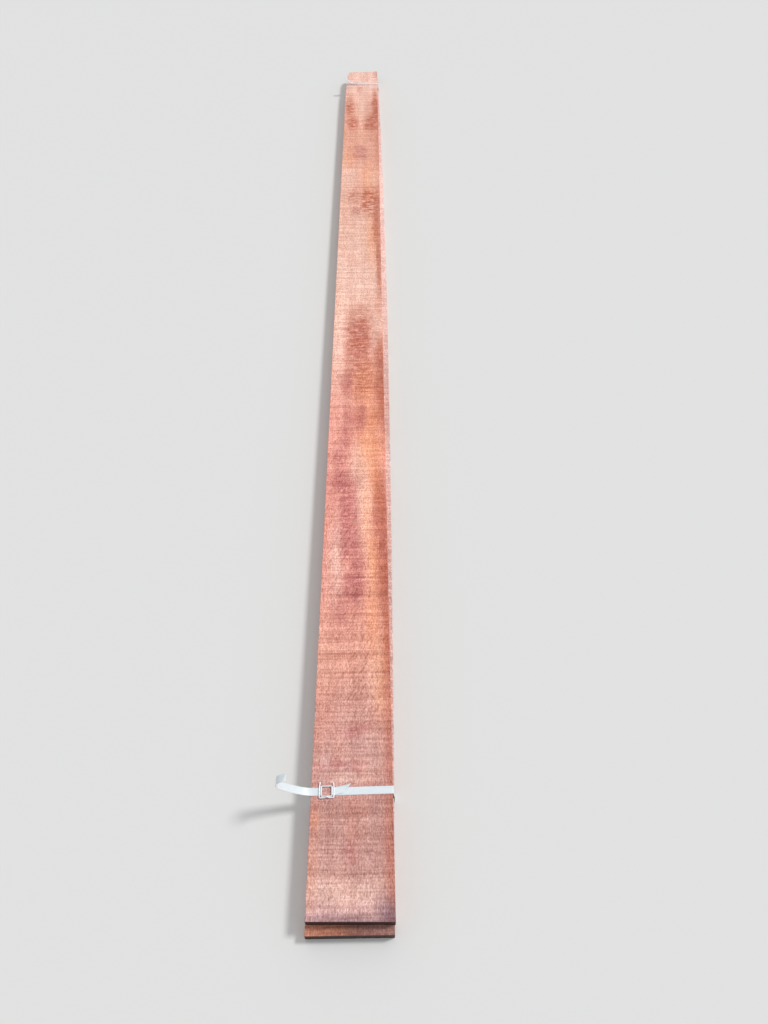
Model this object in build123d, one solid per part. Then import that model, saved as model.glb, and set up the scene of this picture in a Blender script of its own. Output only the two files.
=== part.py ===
from build123d import *
import math
import os

os.makedirs("parts", exist_ok=True)

# Two sawn planks, one on the other, tied by two flat straps with wire buckles.
# Millimetres. +Y runs along the planks, the near end is at -Y, +Z is up.
# The floor is at z = 0, under the straps.

# both planks
plank_length = 5000.0
plank_width = 200.0
plank_thick = 30.0
arris = 1.2
stack_gap = 0.2

# upper plank: hardly bent, its ends a little off square, a far corner broken away
upper_bow = -1.0
upper_near_skew = 2.7
upper_far_skew = 18.0
wane_across = 7.0
wane_along = 400.0
lost_corner_across = 24.0
lost_corner_along = 50.0
splinter_x = 62.0
splinter_wide = 22.0
splinter_deep = 2.8

# lower plank: bowed sideways and pulled towards the near end
lower_bow = 20.5
lower_lead = 21.0
lower_near_shift = -2.0
lower_far_shift = 3.5

# straps
strap_width = 19.0
strap_thick = 0.8
strap_gap = 0.2
side_gap = 0.5
ply_gap = 0.2
front_strap_inset = 285.0
front_strap_skew = 1.0
rear_strap_inset = 204.0
rear_strap_skew = 1.0

# buckles, each bent from one wire
wire = 3.3
wrap_gap = 0.1
window_wide = 21.7
window_slack = 2.2
bend_radius = 2.7
mitre_turn = 15.0
cross_gap = 0.2
ear_reach = 8.0
ear_lean = 1.5
front_buckle_x = -61.7
rear_buckle_x = -36.0

# strap ends: radius and degrees of each turn, and the straight lengths between
short_end_flat = 26.0
short_end_turns = ((34.0, 22.0),)
short_end_tip = 3.0
short_end_drift = 5.0
short_end_slant = 17.0
long_end_flat = 10.0
long_end_turns = ((61.0, 29.0), (180.0, 22.0), (27.0, 100.0))
long_end_tip = 14.0
rear_end_flat = 2.0
rear_end_turns = ((16.0, 27.0), (130.0, 22.0))
rear_end_tip = 4.0

half_length = plank_length / 2
half_width = plank_width / 2
half_strap = strap_width / 2
lower_z = strap_thick + strap_gap
upper_z = lower_z + plank_thick + stack_gap
deck_z = upper_z + plank_thick
strap_z = deck_z + strap_gap + strap_thick / 2
wrap_radius = wire / 2 + wrap_gap + strap_thick / 2
bar_inner = window_wide / 2 + strap_thick + wrap_gap + wire / 2
bar_outer = bar_inner + 2 * wrap_radius
bar_z = strap_z + strap_thick + ply_gap + wrap_radius
end_z = bar_z - wrap_radius


def bow_at(y, bow, near_shift=0.0, far_shift=0.0):
    """How far a plank's centre line is from the middle at y."""
    along = (y + half_length) / plank_length
    return 4 * bow * along * (1 - along) + near_shift + (far_shift - near_shift) * along


def long_side(x, near_y, far_y, bow, near_shift, far_shift):
    middle = x + (near_shift + far_shift) / 2
    return Bezier((near_shift + x, near_y), (middle + 2 * bow, 0), (far_shift + x, far_y))


def plank(bow, near_shift, far_shift, near_skew, far_skew, base_z):
    left = long_side(
        -half_width,
        near_skew / 2 - half_length,
        half_length - far_skew / 2,
        bow,
        near_shift,
        far_shift,
    )
    right = long_side(
        half_width,
        -near_skew / 2 - half_length,
        half_length + far_skew / 2,
        bow,
        near_shift,
        far_shift,
    )
    near_end = Line(left @ 0, right @ 0)
    far_end = Line(left @ 1, right @ 1)
    outline = make_face(Wire([left, far_end, right, near_end]))
    body = extrude(Plane.XY.offset(base_z) * outline, plank_thick)
    arrises = [edge for edge in body.edges() if edge.length > plank_length / 2]
    return chamfer(arrises, arris)


def upper_plank():
    body = plank(upper_bow, 0, 0, upper_near_skew, upper_far_skew, upper_z)
    clear = plank_width / 10
    start = (-wane_across / 4, -wane_along * 1.25)
    corner_start = (wane_across, -lost_corner_along)
    wane = Line(start, corner_start)
    break_line = Spline(
        corner_start,
        ((wane_across + lost_corner_across) / 2, -0.4 * lost_corner_along),
        (lost_corner_across, clear),
    )
    beyond = Polyline(break_line @ 1, (-clear, clear), (-clear, start[1]), start)
    lost = make_face([wane, break_line, *beyond.edges()])
    corner = Pos(-half_width, half_length - upper_far_skew / 2, upper_z - arris)
    body -= corner * extrude(lost, plank_thick + 2 * arris)
    edge_y = -half_length - upper_near_skew * splinter_x / plank_width
    side = splinter_deep * math.sqrt(2)
    splinter = Rot(45, 0, 0) * Box(splinter_wide, side, side)
    return body - Pos(splinter_x, edge_y, upper_z) * splinter


def lower_plank():
    body = plank(lower_bow, lower_near_shift, lower_far_shift, 0, 0, lower_z)
    return Pos(0, -lower_lead, 0) * body


def strap_loop(y_mid):
    """The section of the closed loop, its inner side clear of both planks."""
    corners = []
    for y in (y_mid - half_strap, y_mid + half_strap):
        upper_x = bow_at(y, upper_bow)
        lower_x = bow_at(y + lower_lead, lower_bow, lower_near_shift, lower_far_shift)
        for x, z in ((upper_x, upper_z), (lower_x, lower_z)):
            section = Rectangle(plank_width + 2 * side_gap, plank_thick)
            corners += (Pos(x, z + plank_thick / 2) * section).edges()
    inner = offset(make_hull(corners), strap_gap, kind=Kind.INTERSECTION)
    inner = fillet(inner.vertices(), arris + strap_gap)
    outer = offset(inner, strap_thick, kind=Kind.ARC)
    return outer - inner


def wrapped_bars():
    """Under both bars, up round the inner one, down between them and out under the outer one."""
    run = bar_outer - bar_inner
    rise = bar_z - strap_z
    reach = math.hypot(run, rise)
    lift = math.atan2(rise, run) - math.asin(wrap_radius / reach)
    touch = (
        bar_inner - wrap_radius * math.sin(lift),
        bar_z - wrap_radius * math.cos(lift),
    )
    approach = Polyline((bar_outer + wire, strap_z), (bar_outer, strap_z), touch)
    start = 270 - math.degrees(lift)
    round_inner = CenterArc((bar_inner, bar_z), wrap_radius, start, -start)
    under_outer = CenterArc((bar_outer, bar_z), wrap_radius, 180, 90)
    return [*approach.edges(), round_inner, under_outer]


def loose_end(flat, turns, tip):
    """From under the outer bar: straight, then turning up, then straight again."""
    edges = [Line((bar_outer, end_z), (bar_outer + flat, end_z))]
    for radius, degrees in turns:
        last = edges[-1]
        edges.append(JernArc(last @ 1, last % 1, radius, degrees))
    last = edges[-1]
    edges.append(Line(last @ 1, (last @ 1) + (last % 1) * tip))
    return edges


def across(section, width):
    """A section in x and z made a strap's width along y."""
    return extrude(Plane.XZ * section, width / 2, both=True)


def drifting_end(edges):
    """A loose end that lies askew: it slides sideways as it leaves the bar, to a slanting cut."""
    slab = across(trace(edges, strap_thick), 2 * strap_width + 2 * short_end_drift)
    tip_x = slab.bounding_box().max.X
    heel_x = tip_x - short_end_slant
    rate = short_end_drift / short_end_flat
    plan = Polyline(
        (bar_outer - 1, -half_strap),
        (bar_outer, -half_strap),
        (heel_x, rate * (heel_x - bar_outer) - half_strap),
        (tip_x, rate * (tip_x - bar_outer) + half_strap),
        (bar_outer, half_strap),
        (bar_outer - 1, half_strap),
        close=True,
    )
    return slab & extrude(make_face(plan), 2 * slab.bounding_box().max.Z)


def strap(y_mid, buckle_x, skew, flat, turns, tip):
    opening = Pos(buckle_x, strap_z) * Rectangle(2 * bar_outer, 3 * strap_thick)
    loop = strap_loop(y_mid) - opening
    right = wrapped_bars()
    left_end = [*right, *loose_end(flat, turns, tip)]
    left = mirror(trace(left_end, strap_thick), Plane.YZ)
    at_buckle = Pos(buckle_x, 0)
    body = across(loop, strap_width)
    body += across(at_buckle * left, strap_width)
    body += across(at_buckle * trace(right, strap_thick), strap_width)
    short_end = loose_end(short_end_flat, short_end_turns, short_end_tip)
    body += Pos(buckle_x, 0, 0) * drifting_end(short_end)
    return Pos(0, y_mid, 0) * Rot(0, 0, skew) * body


def bent_wire(points, radius):
    """Round wire through the points, each corner bent to one radius in short even mitres."""
    points = [Vector(*point) for point in points]
    line = [points[0]]
    for before, corner, after in zip(points, points[1:], points[2:]):
        into = (corner - before).normalized()
        out = (after - corner).normalized()
        degrees = into.get_angle(out)
        axle = into.cross(out).normalized()
        start = corner - into * radius * math.tan(math.radians(degrees / 2))
        centre = start + axle.cross(into) * radius
        steps = math.ceil(degrees / mitre_turn)
        reach = radius / math.cos(math.radians(degrees / steps / 2))
        for step in range(steps):
            turned = (step + 0.5) * degrees / steps
            spoke = (start - centre).normalized().rotate(Axis((0, 0, 0), axle), turned)
            line.append(centre + spoke * reach)
    path = Polyline(*line, points[-1])
    section = Plane(path @ 0, z_dir=path % 0) * Circle(wire / 2)
    return sweep(section, path=path, transition=Transition.RIGHT)


def buckle():
    """Ear, outer bar, inner bar, crossbar, inner bar, outer bar, ear, in one wire."""
    top_y = (strap_width + window_slack + wire) / 2
    hop = wire + cross_gap
    low_inner = -top_y
    low_outer = low_inner - hop
    ear_y = top_y + wire / 2 + ear_reach
    ear_root = top_y - wire
    crossing = 1.5 * wire
    foot = 2.1 * wire
    crown = 0.75 * wire
    crown_drop = hop / 4
    return bent_wire(
        (
            (ear_lean - bar_outer, ear_y, 0),
            (-bar_outer, ear_root, 0),
            (-bar_outer, low_outer, 0),
            (-crossing, low_outer, 0),
            (crossing, low_inner, 0),
            (bar_inner, low_inner, 0),
            (bar_inner, top_y, 0),
            (-bar_inner, top_y, 0),
            (-bar_inner, low_inner, 0),
            (-foot, low_inner, 0),
            (-crown, low_inner - crown_drop, hop),
            (crown, low_outer + crown_drop, hop),
            (foot, low_outer, 0),
            (bar_outer, low_outer, 0),
            (bar_outer, ear_root, 0),
            (bar_outer - ear_lean, ear_y, 0),
        ),
        bend_radius,
    )


def placed_buckle(y_mid, x, skew):
    return Pos(0, y_mid, 0) * Rot(0, 0, skew) * Pos(x, 0, bar_z) * buckle()


front_y = front_strap_inset - half_length
rear_y = half_length - rear_strap_inset
front_end = (long_end_flat, long_end_turns, long_end_tip)
rear_end = (rear_end_flat, rear_end_turns, rear_end_tip)
pieces = {
    "upper_plank": upper_plank(),
    "lower_plank": lower_plank(),
    "front_strap": strap(front_y, front_buckle_x, front_strap_skew, *front_end),
    "rear_strap": strap(rear_y, rear_buckle_x, rear_strap_skew, *rear_end),
    "front_buckle": placed_buckle(front_y, front_buckle_x, front_strap_skew),
    "rear_buckle": placed_buckle(rear_y, rear_buckle_x, rear_strap_skew),
}

# the origin goes on the floor, under the middle of the whole
boxes = [piece.bounding_box() for piece in pieces.values()]
mid_x = (min(box.min.X for box in boxes) + max(box.max.X for box in boxes)) / 2
mid_y = (min(box.min.Y for box in boxes) + max(box.max.Y for box in boxes)) / 2
shift = Pos(-mid_x, -mid_y, -min(box.min.Z for box in boxes))
for name, piece in pieces.items():
    placed = shift * piece
    placed.label = name
    export_step(placed, f"parts/{name}.step")
    print(name, len(placed.solids()), round(placed.volume, 1))
print("moved by", shift.position)
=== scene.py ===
import math
import random

import bmesh
import bpy
from mathutils import Matrix, Vector
from mathutils.bvhtree import BVHTree


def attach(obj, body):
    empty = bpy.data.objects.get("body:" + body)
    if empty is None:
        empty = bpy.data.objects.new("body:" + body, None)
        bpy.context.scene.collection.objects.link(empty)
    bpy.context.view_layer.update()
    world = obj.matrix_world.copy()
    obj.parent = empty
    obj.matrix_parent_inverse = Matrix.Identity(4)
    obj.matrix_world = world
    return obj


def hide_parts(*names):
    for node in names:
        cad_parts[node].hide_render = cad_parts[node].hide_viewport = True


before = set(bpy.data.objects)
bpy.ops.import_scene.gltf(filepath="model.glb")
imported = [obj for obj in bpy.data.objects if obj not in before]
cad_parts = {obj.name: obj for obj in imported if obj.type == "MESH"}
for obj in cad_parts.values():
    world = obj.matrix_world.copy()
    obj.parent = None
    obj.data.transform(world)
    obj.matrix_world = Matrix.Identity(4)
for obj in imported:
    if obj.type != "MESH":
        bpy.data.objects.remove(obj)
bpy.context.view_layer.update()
chance = random.Random(7)

# the stack as it lies in the row frame, in metres
MIDDLE_X = 0.0284
NEAR_END = -2.494
LENGTH = 5.0
UPPER_EDGE = 0.0606
LOWER_EDGE = 0.0304

# cord strapping: where each strap crosses the stack, and its cords' number, spacing and relief
FRONT_Y = -2.209
REAR_Y = 2.302
SKEW_DEGREES = 1.0
CORDS = 15
CORD = 0.00126
CORD_DIP = 0.00013
CUT_SNAP = 0.000002

# buckles, bent from one wire: its thickness, its bends and rounded tips, and where each buckle sits
WIRE = 0.0033
BEND_REACH = 0.0027
BEND_SHARE = 0.42
BEND_ROUNDING = 0.56
TIP_ROUNDING = 0.0004
WIRE_WELD = 0.00001
BUCKLE_Z = 0.06495
FRONT_BUCKLE_X = -0.0617
REAR_BUCKLE_X = -0.036

# sawn timber: the heart that its growth rings run round, their waves, the depth of the saw's relief,
# and the powers by which red, green and blue darken together
HEART = (0.055, 0.0, -0.09)
RING_WAVES = 1900.0
SAW_RELIEF = 0.0011
WARMTH = (1.0, 1.4, 1.5)

# a soft patch is full inside its core and gone beyond its rim, in half widths
PATCH_CORE = 0.1
PATCH_RIM = 1.7


def shade(red, green, blue):
    """A colour as a paint card gives it, 0 to 255, in the linear values that a shader takes."""
    linear = []
    for part in (red, green, blue):
        part /= 255
        linear.append(part / 12.92 if part <= 0.04045 else ((part + 0.055) / 1.055) ** 2.4)
    return (*linear, 1.0)


class Finish:
    """One procedural material, built up on the object's own coordinates."""

    def __init__(self, name):
        self.material = bpy.data.materials.new(name)
        self.material.use_nodes = True
        self.tree = self.material.node_tree
        self.tree.nodes.clear()
        self.shader = self.add("ShaderNodeBsdfPrincipled")
        output = self.add("ShaderNodeOutputMaterial")
        self.tree.links.new(self.shader.outputs[0], output.inputs["Surface"])
        self.place = self.add("ShaderNodeTexCoord").outputs["Object"]

    def add(self, kind, **settings):
        node = self.tree.nodes.new(kind)
        for name, value in settings.items():
            setattr(node, name, value)
        return node

    def set(self, socket, value):
        if isinstance(value, bpy.types.NodeSocket):
            self.tree.links.new(value, socket)
        else:
            socket.default_value = value

    def calc(self, operation, *parts):
        """The result of a sum on numbers."""
        node = self.add("ShaderNodeMath", operation=operation)
        for socket, part in zip(node.inputs, parts):
            self.set(socket, part)
        return node.outputs[0]

    def vector_calc(self, operation, *parts):
        """The result of a sum on vectors, which is a number for some operations."""
        node = self.add("ShaderNodeVectorMath", operation=operation)
        for socket, part in zip(node.inputs, parts):
            self.set(socket, part)
        gives_number = operation in ("DISTANCE", "DOT_PRODUCT", "LENGTH")
        return node.outputs["Value" if gives_number else "Vector"]

    def mapped(self, vector, scale=(1, 1, 1), degrees=0):
        """The vector turned about Z and scaled."""
        node = self.add("ShaderNodeMapping")
        self.set(node.inputs["Vector"], vector)
        node.inputs["Rotation"].default_value = (0, 0, math.radians(degrees))
        node.inputs["Scale"].default_value = scale
        return node.outputs[0]

    def noise(self, vector, scale, detail=2.0, roughness=0.5, output="Fac"):
        """Noise with so many waves a metre along each axis."""
        node = self.add("ShaderNodeTexNoise")
        self.set(node.inputs["Vector"], self.mapped(vector, scale))
        node.inputs["Scale"].default_value = 1.0
        node.inputs["Detail"].default_value = detail
        node.inputs["Roughness"].default_value = roughness
        return node.outputs[output]

    def ragged(self, vector, scale, reach):
        """Each spot pulled about by up to its reach, so that what is laid there gets a torn outline."""
        pull = self.noise(vector, scale, 3.0, 0.6, "Color")
        pull = self.vector_calc("SUBTRACT", pull, (0.5, 0.5, 0.5))
        return self.vector_calc("ADD", vector, self.vector_calc("MULTIPLY", pull, reach))

    def span(self, value, low, high, to_low=0.0, to_high=1.0):
        """The value's run from low to high, eased into a run between the two others."""
        node = self.add("ShaderNodeMapRange", interpolation_type="SMOOTHSTEP")
        for name, wanted in (
            ("Value", value),
            ("From Min", low),
            ("From Max", high),
            ("To Min", to_low),
            ("To Max", to_high),
        ):
            self.set(node.inputs[name], wanted)
        return node.outputs["Result"]

    def mix(self, share, first, second):
        """The first colour, with its share of the second."""
        node = self.add("ShaderNodeMix", data_type="RGBA")
        self.set(node.inputs[0], share)
        self.set(node.inputs[6], first)
        self.set(node.inputs[7], second)
        return node.outputs[2]

    def dimmed(self, colour, value, low, high, dark, light):
        """The colour times a run of brightness from dark to light."""
        node = self.add("ShaderNodeVectorMath", operation="SCALE")
        self.set(node.inputs[0], colour)
        self.set(node.inputs["Scale"], self.span(value, low, high, dark, light))
        return node.outputs["Vector"]

    def warmed(self, colour, share):
        """The colour times the share, redder where that darkens it, as sawn hardwood is."""
        tint = self.add("ShaderNodeCombineXYZ")
        for socket, power in zip(tint.inputs, WARMTH):
            self.set(socket, self.calc("POWER", share, power))
        return self.vector_calc("MULTIPLY", colour, tint.outputs[0])

    def ramp(self, value, stops):
        """The colour at this value between the stops, each a position and a colour."""
        node = self.add("ShaderNodeValToRGB")
        self.set(node.inputs[0], value)
        marks = node.color_ramp.elements
        while len(marks) < len(stops):
            marks.new(0.5)
        for mark, (position, colour) in zip(marks, stops):
            mark.position = position
            mark.color = colour
        return node.outputs["Color"]

    def axes(self, vector):
        node = self.add("ShaderNodeSeparateXYZ")
        self.set(node.inputs[0], vector)
        return node.outputs

    def oval(self, vector, x, y, half_x, half_y, strength):
        """Its strength in the middle of a soft oval on a plank's top face, 0 outside it."""
        scale = (1 / half_x, 1 / half_y, 0.0)
        centred = self.vector_calc("MULTIPLY_ADD", vector, scale, (-x / half_x, -y / half_y, 0.0))
        return self.span(self.vector_calc("LENGTH", centred), PATCH_RIM, PATCH_CORE, 0.0, strength)

    def ovals(self, vector, places):
        """The strongest of many ovals."""
        total = 0.0
        for place in places:
            total = self.calc("MAXIMUM", total, self.oval(vector, *place))
        return total

    def bump(self, height, depth):
        node = self.add("ShaderNodeBump")
        node.inputs["Distance"].default_value = depth
        self.set(node.inputs["Height"], height)
        return node.outputs["Normal"]


# where the figure of the top face changes: x, y, half width, half length, strength
PURPLE_HEART = (
    (0.029, 1.31, 0.055, 0.12, 0.7),
    (0.004, 0.64, 0.025, 0.05, 0.8),
    (0.027, -0.31, 0.062, 0.12, 0.45),
    (0.034, -0.46, 0.056, 0.10, 0.5),
    (-0.018, -0.66, 0.026, 0.09, 0.7),
    (-0.006, -0.86, 0.024, 0.10, 0.6),
    (0.037, -0.87, 0.030, 0.07, 0.7),
    (-0.012, -0.98, 0.016, 0.08, 0.9),
    (-0.030, -1.07, 0.020, 0.07, 0.8),
    (-0.016, -1.18, 0.042, 0.06, 1.0),
    (0.002, -1.31, 0.034, 0.16, 1.0),
    (0.012, -1.43, 0.038, 0.08, 0.9),
    (0.036, -1.52, 0.032, 0.05, 0.8),
    (0.022, -1.60, 0.040, 0.07, 1.0),
    (-0.010, -1.70, 0.036, 0.10, 0.6),
    (0.033, -2.05, 0.040, 0.03, 0.7),
    (-0.008, -2.148, 0.075, 0.013, 0.6),
    (0.024, -2.35, 0.026, 0.022, 0.6),
)
BROWN_SWIRLS = (
    (-0.024, 1.70, 0.034, 0.10, 1.0),
    (0.088, 1.71, 0.042, 0.12, 1.0),
    (0.112, 1.95, 0.020, 0.26, 1.0),
    (-0.040, 1.91, 0.028, 0.16, 0.8),
    (0.014, 2.21, 0.024, 0.06, 0.6),
    (0.078, 0.76, 0.056, 0.15, 1.0),
    (0.000, 0.80, 0.050, 0.09, 0.6),
    (0.030, -0.38, 0.066, 0.20, 0.8),
    (0.040, -0.62, 0.070, 0.20, 0.6),
    (0.040, -0.86, 0.060, 0.10, 0.35),
)
BROWN_MARGINS = (
    (0.106, 0.50, 0.020, 0.22, 0.9),
    (0.114, 0.20, 0.012, 0.24, 0.9),
    (0.114, -0.49, 0.020, 0.12, 1.0),
    (0.114, -0.69, 0.022, 0.16, 1.0),
    (0.108, -0.85, 0.024, 0.05, 0.7),
    (0.106, -1.29, 0.024, 0.14, 1.0),
    (0.112, -1.52, 0.018, 0.18, 1.0),
    (0.118, -1.78, 0.013, 0.22, 0.7),
    (0.120, -2.05, 0.011, 0.20, 0.4),
    (0.118, -2.36, 0.016, 0.13, 0.4),
    (-0.064, -2.20, 0.018, 0.24, 0.35),
)
ORANGE_GLOW = (
    (-0.030, 1.24, 0.032, 0.13, 0.6),
    (0.073, 0.96, 0.040, 0.24, 0.7),
    (0.090, 0.40, 0.030, 0.26, 0.7),
    (0.060, -0.68, 0.044, 0.16, 0.9),
    (0.080, -0.88, 0.040, 0.12, 0.9),
    (0.074, -1.02, 0.050, 0.13, 1.0),
    (0.088, -1.15, 0.028, 0.16, 0.9),
    (0.064, -1.32, 0.022, 0.18, 0.7),
    (0.079, -1.50, 0.022, 0.14, 1.0),
    (0.084, -1.70, 0.020, 0.20, 0.7),
    (0.100, -1.90, 0.020, 0.12, 0.6),
    (-0.058, -2.28, 0.012, 0.025, 0.5),
    (-0.062, -2.39, 0.012, 0.08, 0.3),
)
PALE_SAP = (
    (0.050, 2.25, 0.070, 0.16, 0.8),
    (0.035, 1.98, 0.040, 0.24, 0.7),
    (0.092, 0.97, 0.030, 0.12, 1.0),
    (-0.035, 1.04, 0.034, 0.18, 0.6),
    (0.022, 0.03, 0.090, 0.18, 0.7),
    (-0.048, -0.40, 0.020, 0.28, 0.8),
    (0.100, -0.33, 0.018, 0.12, 0.9),
    (0.042, -1.09, 0.036, 0.10, 1.0),
    (0.056, -1.26, 0.026, 0.20, 1.0),
    (0.069, -1.47, 0.014, 0.12, 0.7),
    (-0.030, -1.50, 0.022, 0.16, 0.7),
    (0.094, -1.90, 0.024, 0.08, 0.6),
    (0.023, -2.18, 0.060, 0.012, 0.5),
    (0.014, -2.435, 0.090, 0.036, 0.8),
)
DEEP_SAW_LINES = (
    (0.030, 0.90, 0.080, 0.0060, 0.5),
    (0.020, -0.62, 0.070, 0.0055, 0.6),
    (0.035, -1.501, 0.090, 0.0040, 0.7),
    (0.050, -1.572, 0.080, 0.0035, 0.6),
    (0.020, -1.635, 0.090, 0.0040, 0.9),
    (0.020, -1.700, 0.090, 0.0033, 0.6),
    (-0.010, -1.830, 0.070, 0.0036, 1.0),
    (0.060, -1.888, 0.080, 0.0032, 0.6),
    (0.020, -1.955, 0.090, 0.0032, 0.6),
    (0.010, -2.137, 0.080, 0.0034, 0.7),
    (0.000, -2.160, 0.070, 0.0030, 0.9),
    (0.040, -2.262, 0.050, 0.0026, 0.5),
    (0.050, -2.398, 0.060, 0.0026, 0.4),
)
SLANTED_FIGURE = (
    (0.040, -1.88, 0.070, 0.24, 0.8),
    (0.030, -1.68, 0.046, 0.24, 1.0),
    (-0.010, -1.40, 0.060, 0.46, 0.9),
    (-0.030, -1.05, 0.036, 0.20, 1.0),
    (0.090, 0.76, 0.040, 0.12, 0.7),
)
RED_EDGE_GAPS = (
    (0.110, 2.20, 0.080, 0.20, 0.9),
    (0.110, 1.04, 0.080, 0.12, 0.6),
    (0.110, -0.28, 0.080, 0.14, 0.9),
    (0.110, -1.10, 0.080, 0.14, 1.0),
)
DAMP_END = (
    (0.116, -2.490, 0.032, 0.044, 1.0),
    (0.030, -2.496, 0.150, 0.017, 0.75),
)


def torn_share(wood, spot, places, mottle, least):
    """The ovals' soft field, thinned by a mottle to its least share, so that no oval shows as one."""
    field = wood.span(wood.ovals(spot, places), 0.0, 0.95)
    return wood.calc("MULTIPLY", field, wood.span(mottle, 0.36, 0.60, least, 1.0))


def figured_colour(wood, spot, colour):
    """The upper plank's top: heart, swirls, orange and pale wood, and a greyed near end."""
    torn = wood.ragged(spot, (22, 8, 22), (0.030, 0.09, 0.0))
    torn = wood.ragged(torn, (90, 55, 90), (0.010, 0.03, 0.0))
    dashes = wood.noise(spot, (40, 105, 40), 3.0, 0.62)
    blots = wood.noise(spot, (30, 64, 30), 3.0, 0.66)
    pale = wood.calc("MULTIPLY", wood.ovals(torn, PALE_SAP), 0.75)
    colour = wood.mix(pale, colour, shade(252, 207, 190))
    orange = wood.calc("MULTIPLY", wood.ovals(torn, ORANGE_GLOW), 0.68)
    colour = wood.mix(orange, colour, shade(244, 160, 112))
    purple = wood.calc("MULTIPLY", torn_share(wood, torn, PURPLE_HEART, dashes, 0.35), 0.70)
    colour = wood.mix(purple, colour, shade(176, 84, 90))
    brown = wood.calc("MULTIPLY", torn_share(wood, torn, BROWN_SWIRLS, blots, 0.12), 0.90)
    colour = wood.mix(brown, colour, shade(186, 86, 56))
    margin = wood.calc("MULTIPLY", torn_share(wood, torn, BROWN_MARGINS, blots, 0.65), 0.70)
    colour = wood.mix(margin, colour, shade(186, 92, 62))
    near = wood.ragged(spot, (50, 30, 50), (0.01, 0.014, 0.0))
    red_edge = wood.span(wood.axes(near)["X"], 0.091, 0.129, 0.0, 0.50)
    gaps = wood.ovals(near, RED_EDGE_GAPS)
    red_edge = wood.calc("MULTIPLY", red_edge, wood.calc("SUBTRACT", 1.0, gaps))
    colour = wood.mix(red_edge, colour, shade(184, 96, 70))
    dark_near_end = wood.calc("MULTIPLY", wood.ovals(near, DAMP_END), 0.72)
    return wood.mix(dark_near_end, colour, shade(104, 78, 92))


def ledge_colour(wood, spot, colour):
    """The lower plank's bare end in front of the upper one: orange left, dark in the middle, partly
    damp wood and partly painted shade at the foot of the upper plank's end.
    """
    y = wood.axes(spot)["Y"]
    ledge = wood.span(y, NEAR_END + 0.010, NEAR_END - 0.002)
    across = wood.axes(wood.ragged(spot, (60, 60, 60), (0.04, 0.0, 0.0)))["X"]
    # painted shade, with some damp wood, darkens the ledge where it meets the upper plank's end
    dark_near_end = wood.ramp(
        wood.span(across, -0.075, 0.130),
        (
            (0.0, shade(200, 133, 108)),
            (0.3, shade(173, 112, 91)),
            (0.6, shade(140, 92, 81)),
            (1.0, shade(162, 116, 107)),
        ),
    )
    return wood.mix(ledge, colour, dark_near_end)


def growth_rings(wood, spot):
    """Arcs round a heart that lay below the plank, as its cut ends show them."""
    wavy = wood.ragged(spot, (14, 4, 14), (0.012, 0.0, 0.012))
    flat = wood.vector_calc("MULTIPLY", wavy, (1.0, 0.0, 1.0))
    from_heart = wood.vector_calc("DISTANCE", flat, HEART)
    ring = wood.calc("SINE", wood.calc("MULTIPLY", from_heart, RING_WAVES))
    return wood.span(ring, -1.0, 1.0)


def end_cut_colour(wood, spot, colour):
    """Dark sealed ends with growth rings and open pores; part of their darkness is painted shade."""
    facing = wood.axes(wood.add("ShaderNodeNewGeometry").outputs["True Normal"])
    end_cut = wood.span(wood.calc("ABSOLUTE", facing["Y"]), 0.6, 0.8)
    open_pores = wood.noise(spot, (900, 60, 900), 1.0)
    rings = wood.calc("ADD", growth_rings(wood, spot), wood.calc("MULTIPLY", open_pores, 0.5))
    # the end grain's own dark colour, deepened with painted shade
    end_grain_and_shade = wood.mix(wood.span(rings, 0.1, 1.1), shade(31, 14, 13), shade(70, 38, 33))
    end_grain_and_shade = wood.mix(wood.span(open_pores, 0.60, 0.70), end_grain_and_shade, shade(19, 9, 9))
    return wood.mix(end_cut, colour, end_grain_and_shade)


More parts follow.
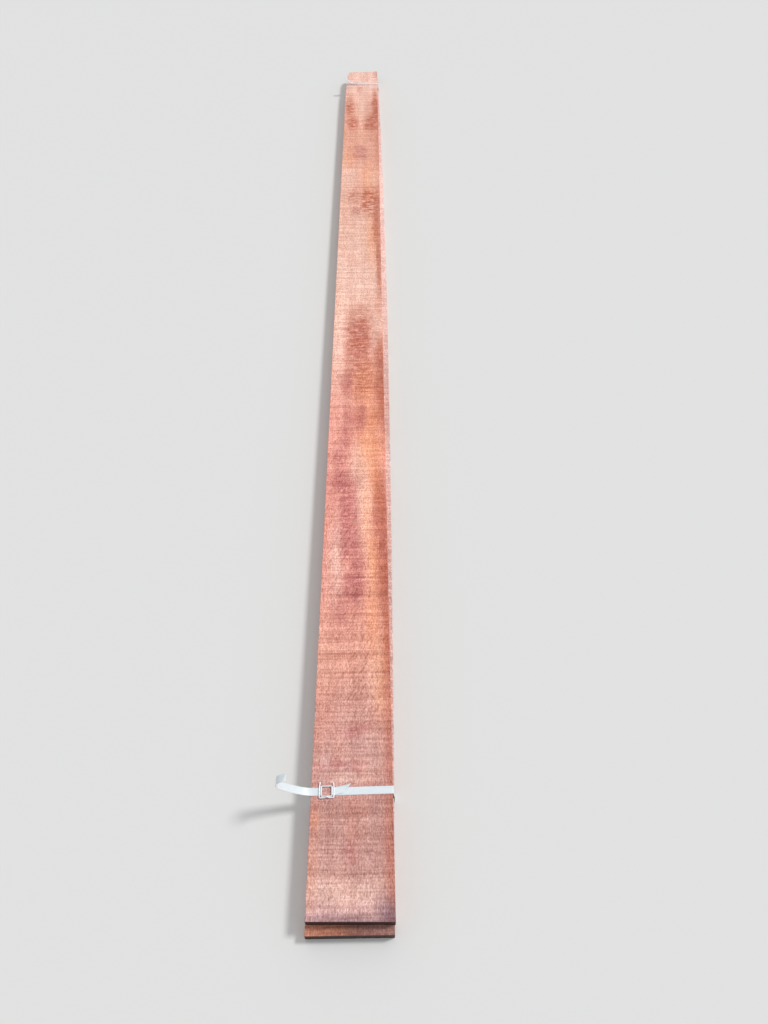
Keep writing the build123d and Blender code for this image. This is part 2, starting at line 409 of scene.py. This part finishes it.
def finish_timber(name, tones, top_figure):
    """Band-sawn hardwood: grain along the plank, saw lines across it, dark sealed ends partly darkened
    with painted shade.
    """
    wood = Finish(name)
    spot = wood.place
    wavy = wood.ragged(spot, (7, 0.9, 7), (0.05, 0.0, 0.05))
    along = wood.calc("DIVIDE", wood.calc("SUBTRACT", wood.axes(spot)["Y"], NEAR_END), LENGTH)

    bands = wood.noise(wavy, (24, 0.8, 24), 3.0, 0.55)
    clouds = wood.noise(spot, (14, 7, 14), 3.0, 0.6)
    streak = wood.noise(wavy, (210, 15, 210), 3.0, 0.6)
    fibre = wood.noise(wavy, (760, 42, 760), 3.0, 0.65)
    pores = wood.noise(spot, (480, 95, 480), 1.0)
    speck = wood.noise(spot, (400, 190, 400), 2.0, 0.7)
    saw = wood.noise(spot, (5, 150, 5), 3.0, 0.68)
    saw_wide = wood.noise(spot, (4, 45, 4), 2.0)
    slant = wood.noise(wood.mapped(spot, degrees=25), (190, 20, 190), 2.0, 0.6)
    wobble = wood.ragged(spot, (14, 14, 14), (0.0, 0.006, 0.0))

    # the ground tone along the plank, partly painted sheen that pales the far part
    colour = wood.ramp(along, tones)
    colour = wood.mix(wood.span(clouds, 0.45, 0.7, 0.0, 0.24), colour, shade(236, 154, 132))
    if top_figure:
        colour = figured_colour(wood, spot, colour)
        deep_saw = wood.ovals(wobble, DEEP_SAW_LINES)
        slanted = wood.ovals(spot, SLANTED_FIGURE)
    else:
        colour = ledge_colour(wood, spot, colour)
        deep_saw = wood.span(saw_wide, 0.62, 0.72, 0.0, 0.5)
        slanted = 0.0

    grain = 1.0
    for part, darkest, lightest in (
        (bands, 0.92, 1.06),
        (streak, 0.93, 1.06),
        (fibre, 0.87, 1.12),
        (speck, 0.75, 1.24),
        (saw, 0.85, 1.14),
        (saw_wide, 0.95, 1.04),
    ):
        grain = wood.calc("MULTIPLY", grain, wood.span(part, 0.3, 0.7, darkest, lightest))
    vessels = wood.calc("MULTIPLY", wood.span(slant, 0.54, 0.65), slanted)
    for marks, depth in (
        (wood.span(pores, 0.60, 0.70), 0.24),
        (slanted, -0.07),
        (vessels, 0.25),
        (deep_saw, 0.31),
    ):
        grain = wood.calc("MULTIPLY", grain, wood.calc("MULTIPLY_ADD", marks, -depth, 1.0))
    colour = end_cut_colour(wood, spot, wood.warmed(colour, grain))
    wood.set(wood.shader.inputs["Base Color"], colour)

    wood.set(wood.shader.inputs["Roughness"], wood.span(streak, 0.3, 0.7, 0.58, 0.80))
    wood.shader.inputs["Specular IOR Level"].default_value = 0.35

    relief = wood.calc("MULTIPLY", saw, 0.9)
    for part, share in ((saw_wide, 0.7), (streak, 0.5), (fibre, 0.35), (speck, 0.35)):
        relief = wood.calc("ADD", relief, wood.calc("MULTIPLY", part, share))
    relief = wood.calc("SUBTRACT", relief, wood.calc("MULTIPLY", deep_saw, 0.6))
    relief = wood.calc("SUBTRACT", relief, wood.calc("MULTIPLY", vessels, 0.4))
    wood.set(wood.shader.inputs["Normal"], wood.bump(relief, SAW_RELIEF))
    return wood.material


def finish_torn_fibre():
    """Clean pale wood, as a fresh splinter shows."""
    wood = Finish("torn_fibre")
    hair = wood.noise(wood.place, (900, 120, 900), 2.0, 0.6)
    warm = wood.noise(wood.place, (60, 20, 60), 2.0)
    colour = wood.mix(wood.span(warm, 0.35, 0.65), shade(214, 150, 128), shade(240, 206, 190))
    wood.set(wood.shader.inputs["Base Color"], wood.dimmed(colour, hair, 0.3, 0.7, 0.8, 1.1))
    wood.set(wood.shader.inputs["Roughness"], wood.span(hair, 0.3, 0.7, 0.7, 0.9))
    wood.set(wood.shader.inputs["Normal"], wood.bump(hair, 0.0003))
    return wood.material


def finish_strap(name, y_mid):
    """White cord strapping: glossy parallel cords, with painted bluish shade in the valleys between
    them.
    """
    strap = Finish(name)
    centred = strap.vector_calc("SUBTRACT", strap.place, (MIDDLE_X, y_mid, 0.0))
    across = strap.vector_calc("DOT_PRODUCT", centred, tuple(across_strap()))
    wave = strap.calc("COSINE", strap.calc("MULTIPLY", across, 2 * math.pi / CORD))
    cord = strap.span(wave, -1.0, 0.2)
    yarn = strap.noise(strap.place, (260, 3400, 1200), 2.0, 0.6)
    soiled = strap.noise(strap.place, (14, 60, 30), 4.0, 0.6)
    cloudy = strap.noise(strap.place, (70, 120, 70), 2.0)
    # painted bluish shade in the valleys between the cords, white on their crowns
    colour = strap.mix(cord, shade(206, 219, 229), shade(240, 245, 246))
    colour = strap.mix(strap.span(soiled, 0.52, 0.78, 0.0, 0.35), colour, shade(206, 208, 204))
    colour = strap.dimmed(colour, cloudy, 0.3, 0.7, 0.96, 1.0)
    colour = strap.dimmed(colour, yarn, 0.3, 0.7, 0.94, 1.0)
    strap.set(strap.shader.inputs["Base Color"], colour)
    strap.set(strap.shader.inputs["Roughness"], strap.span(yarn, 0.3, 0.7, 0.26, 0.44))
    strap.shader.inputs["Specular IOR Level"].default_value = 0.5
    strap.shader.inputs["Coat Weight"].default_value = 0.15
    strap.set(strap.shader.inputs["Normal"], strap.bump(yarn, 0.00006))
    return strap.material


def finish_wire():
    """Bright galvanised wire, drawn and faintly spangled, duller here and there."""
    wire = Finish("galvanised_wire")
    spangle = wire.noise(wire.place, (900, 900, 900), 3.0, 0.6)
    drawn = wire.noise(wire.place, (2600, 2600, 2600), 1.0)
    dull = wire.noise(wire.place, (160, 160, 160), 2.0)
    colour = wire.mix(wire.span(spangle, 0.3, 0.7), shade(226, 230, 235), shade(246, 249, 252))
    colour = wire.mix(wire.span(dull, 0.55, 0.75, 0.0, 0.35), colour, shade(176, 178, 182))
    wire.set(wire.shader.inputs["Base Color"], colour)
    wire.shader.inputs["Metallic"].default_value = 0.35
    wire.set(wire.shader.inputs["Roughness"], wire.span(dull, 0.3, 0.7, 0.28, 0.48))
    relief = wire.calc("ADD", spangle, wire.calc("MULTIPLY", drawn, 0.4))
    wire.set(wire.shader.inputs["Normal"], wire.bump(relief, 0.00008))
    return wire.material


def give(node, material):
    """A CAD node keeps its mesh and gets the material."""
    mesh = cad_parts[node].data
    mesh.materials.clear()
    mesh.materials.append(material)


def mesh_piece(name, form, material):
    """A new object in the scene, made of the form and its material."""
    mesh = bpy.data.meshes.new(name)
    form.to_mesh(mesh)
    form.free()
    piece = bpy.data.objects.new(name, mesh)
    bpy.context.scene.collection.objects.link(piece)
    mesh.materials.append(material)
    return piece


def join_stack(piece, slot, *nodes):
    """The piece rides on the stack and stands for the nodes; the slot is not used."""
    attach(piece, "root")
    if nodes:
        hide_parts(*nodes)


def across_strap():
    """The direction across the straps, level and nearly along the planks."""
    turn = math.radians(SKEW_DEGREES)
    return Vector((-math.sin(turn), math.cos(turn), 0.0))


def corded_strap(node, y_mid, material):
    """The CAD strap with its cords raised: cut along crowns and valleys, each valley sunk a little."""
    form = bmesh.new()
    form.from_mesh(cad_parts[node].data)
    bmesh.ops.remove_doubles(form, verts=form.verts, dist=CUT_SNAP)
    across = across_strap()
    middle = Vector((MIDDLE_X, y_mid, 0.0))
    valleys = []
    for step in range(1 - CORDS, CORDS):
        cut = bmesh.ops.bisect_plane(
            form,
            geom=form.verts[:] + form.edges[:] + form.faces[:],
            dist=CUT_SNAP,
            plane_co=middle + across * step * CORD / 2,
            plane_no=across,
        )
        valley_cut = (step + CORDS) % 2 == 0
        if valley_cut:
            valleys += [part for part in cut["geom_cut"] if isinstance(part, bmesh.types.BMVert)]
    form.normal_update()
    sinks = [(vert, vert.normal * CORD_DIP) for vert in valleys if vert.is_valid]
    for vert, sink in sinks:
        vert.co -= sink
    piece = mesh_piece(node + "_cords", form, material)
    piece.data.shade_smooth()
    join_stack(piece, "strap", node)


def bent_wire_buckle(name, node, y_mid, x, material):
    """Ear, outer bar, inner bar, crossbar, inner bar, outer bar, ear, in one round wire."""
    bar_inner = 0.0134
    bar_outer = 0.0177
    ear_foot = 0.00895
    ear_top = 0.0219
    ear_lean = 0.0015
    top = 0.01225
    low_inner = -top
    low_outer = -0.01575
    under_half = 0.00495
    over_foot = 0.00693
    over_half = 0.00248
    over_drop = 0.0009
    hop = 0.0035
    route = (
        (ear_lean - bar_outer, ear_top, 0),
        (-bar_outer, ear_foot, 0),
        (-bar_outer, low_outer, 0),
        (-under_half, low_outer, 0),
        (under_half, low_inner, 0),
        (bar_inner, low_inner, 0),
        (bar_inner, top, 0),
        (-bar_inner, top, 0),
        (-bar_inner, low_inner, 0),
        (-over_foot, low_inner, 0),
        (-over_half, low_inner - over_drop, hop),
        (over_half, low_outer + over_drop, hop),
        (over_foot, low_outer, 0),
        (bar_outer, low_outer, 0),
        (bar_outer, ear_foot, 0),
        (bar_outer - ear_lean, ear_top, 0),
    )
    corners = [Vector(corner) for corner in route]
    curve = bpy.data.curves.new(name, "CURVE")
    curve.dimensions = "3D"
    curve.bevel_depth = WIRE / 2
    curve.bevel_resolution = 5
    curve.resolution_u = 8
    curve.use_fill_caps = True
    stations = [(corners[0], corners[0], corners[0])]
    for before, corner, after in zip(corners, corners[1:], corners[2:]):
        into = min(BEND_REACH, (before - corner).length * BEND_SHARE)
        out = min(BEND_REACH, (after - corner).length * BEND_SHARE)
        start = corner + (before - corner).normalized() * into
        end = corner + (after - corner).normalized() * out
        stations.append((start, start, start.lerp(corner, BEND_ROUNDING)))
        stations.append((end, end.lerp(corner, BEND_ROUNDING), end))
    stations.append((corners[-1], corners[-1], corners[-1]))
    spline = curve.splines.new("BEZIER")
    spline.bezier_points.add(len(stations) - 1)
    for point, (spot, left, right) in zip(spline.bezier_points, stations):
        point.handle_left_type = "FREE"
        point.handle_right_type = "FREE"
        point.co = spot
        point.handle_left = left
        point.handle_right = right
    guide = bpy.data.objects.new(name + "_line", curve)
    form = bmesh.new()
    form.from_mesh(bpy.data.meshes.new_from_object(guide))
    bpy.data.objects.remove(guide)
    bmesh.ops.remove_doubles(form, verts=form.verts, dist=WIRE_WELD)
    bmesh.ops.recalc_face_normals(form, faces=form.faces)
    tips = [face for face in form.faces if len(face.verts) > 6]
    rims = list({edge for face in tips for edge in face.edges})
    bmesh.ops.bevel(
        form,
        geom=rims,
        offset=TIP_ROUNDING,
        segments=2,
        profile=0.5,
        affect="EDGES",
        material=-1,
    )
    place = Matrix.Translation((MIDDLE_X, y_mid, BUCKLE_Z))
    place = place @ Matrix.Rotation(math.radians(SKEW_DEGREES), 4, "Z") @ Matrix.Translation((x, 0, 0))
    bmesh.ops.transform(form, matrix=place, verts=form.verts)
    piece = mesh_piece(name, form, material)
    piece.data.shade_smooth()
    join_stack(piece, "buckle_wire", node)


def edge_spot(plank_tree, y, side, height):
    """The point of a plank's long edge at this y, found by looking in from well out to the side."""
    well_out = 0.4
    start = Vector((MIDDLE_X + side * well_out, y, height))
    return plank_tree.ray_cast(start, Vector((-side, 0.0, 0.0)))[0]


def lifted_fibres(material):
    """Slivers that the saw left standing along the planks' upper edges, closer in the near part."""
    nearest, near_part, farthest = -2.47, -1.4, 2.2
    sunk_share = 0.36
    form = bmesh.new()
    for node, height, sides, count in (
        ("upper_plank", UPPER_EDGE, (-1, 1), 46),
        ("lower_plank", LOWER_EDGE, (1,), 24),
    ):
        solid = bmesh.new()
        solid.from_mesh(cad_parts[node].data)
        plank_tree = BVHTree.FromBMesh(solid)
        solid.free()
        for number in range(count):
            side = sides[number % len(sides)]
            y = chance.uniform(nearest, farthest if number % 3 else near_part)
            root = edge_spot(plank_tree, y, side, height)
            if root is None:
                continue
            length = chance.uniform(0.006, 0.024)
            thick = chance.uniform(0.00025, 0.0006)
            lean_out = side * chance.uniform(0.03, 0.16)
            lean_along = chance.choice((-1, 1))
            lean_up = chance.uniform(-0.02, 0.09)
            outward = Vector((lean_out, lean_along, lean_up)).normalized()
            lay = outward.to_track_quat("Z", "X").to_matrix().to_4x4()
            flat = Matrix.Diagonal((1.0, chance.uniform(0.4, 0.8), 1.0, 1.0))
            sunk = root + outward * length * sunk_share
            bmesh.ops.create_cone(
                form,
                cap_ends=True,
                segments=5,
                radius1=thick,
                radius2=0.00006,
                depth=length,
                matrix=Matrix.Translation(sunk) @ lay @ flat,
            )
    piece = mesh_piece("lifted_fibres", form, material)
    join_stack(piece, "timber")


def photo_camera():
    """The camera where the photograph was taken from, fitted to the planks' edges."""
    camera = bpy.data.objects.new("photo_camera", bpy.data.cameras.new("photo_camera"))
    bpy.context.scene.collection.objects.link(camera)
    pitch, yaw, roll = (math.radians(angle) for angle in (49.36, 0.986, 0.22))
    ahead = math.cos(pitch)
    forward = Vector((math.sin(yaw) * ahead, math.cos(yaw) * ahead, -math.sin(pitch)))
    level = Vector((math.cos(yaw), -math.sin(yaw), 0))
    up = level.cross(forward)
    right = level * math.cos(roll) + up * math.sin(roll)
    top = up * math.cos(roll) - level * math.sin(roll)
    turn = Matrix((right, top, -forward)).transposed().to_4x4()
    turn.translation = Vector((0.0924, -2.869, 1.8732))
    camera.matrix_world = turn
    camera.data.sensor_fit = "VERTICAL"
    camera.data.sensor_height = 36
    camera.data.lens = 26.02
    camera.data.clip_start = 0.05
    bpy.context.scene.camera = camera


def studio():
    """A plain pale floor, even light from all round and one soft high lamp."""
    bpy.context.scene.view_settings.view_transform = "Standard"
    finish = Finish("studio_floor")
    finish.shader.inputs["Base Color"].default_value = shade(221, 221, 219)
    finish.shader.inputs["Roughness"].default_value = 0.9
    finish.shader.inputs["Specular IOR Level"].default_value = 0.1
    form = bmesh.new()
    bmesh.ops.create_grid(form, x_segments=2, y_segments=2, size=40)
    mesh_piece("studio_floor", form, finish.material)

    world = bpy.data.worlds.new("studio")
    bpy.context.scene.world = world
    world.use_nodes = True
    background = world.node_tree.nodes["Background"]
    background.inputs["Color"].default_value = shade(236, 238, 240)
    background.inputs["Strength"].default_value = 0.735

    lamp = bpy.data.lights.new("high_window", "SUN")
    lamp.energy = 1.72
    lamp.angle = math.radians(12)
    light = bpy.data.objects.new("high_window", lamp)
    light.rotation_euler = (math.radians(-12), math.radians(38), 0)
    bpy.context.scene.collection.objects.link(light)


photo_camera()
studio()

# the planks' ground tone from the near end, 0, to the far end, 1; its rise from the darker near end to
# the paler far end is partly the wood's own tone and partly painted sheen
upper_tones_and_sheen = (
    (0.00, shade(218, 171, 167)),
    (0.02, shade(205, 153, 143)),
    (0.05, shade(199, 147, 137)),
    (0.066, shade(211, 161, 152)),
    (0.10, shade(211, 152, 138)),
    (0.13, shade(227, 160, 140)),
    (0.20, shade(235, 158, 143)),
    (0.32, shade(243, 167, 150)),
    (0.46, shade(248, 194, 173)),
    (0.54, shade(248, 201, 182)),
    (0.70, shade(242, 185, 163)),
    (0.80, shade(234, 170, 146)),
    (0.90, shade(238, 178, 156)),
    (0.96, shade(248, 202, 186)),
)
lower_tones_and_sheen = (
    (0.00, shade(217, 180, 172)),
    (0.35, shade(228, 194, 185)),
    (0.60, shade(246, 213, 205)),
    (1.00, shade(240, 203, 195)),
)
give("upper_plank", finish_timber("sawn_hardwood", upper_tones_and_sheen, True))
give("lower_plank", finish_timber("sawn_hardwood_below", lower_tones_and_sheen, False))
lifted_fibres(finish_torn_fibre())

corded_strap("front_strap", FRONT_Y, finish_strap("cord_strap_front", FRONT_Y))
corded_strap("rear_strap", REAR_Y, finish_strap("cord_strap_rear", REAR_Y))
wire_finish = finish_wire()
bent_wire_buckle("front_wire_buckle", "front_buckle", FRONT_Y, FRONT_BUCKLE_X, wire_finish)
bent_wire_buckle("rear_wire_buckle", "rear_buckle", REAR_Y, REAR_BUCKLE_X, wire_finish)
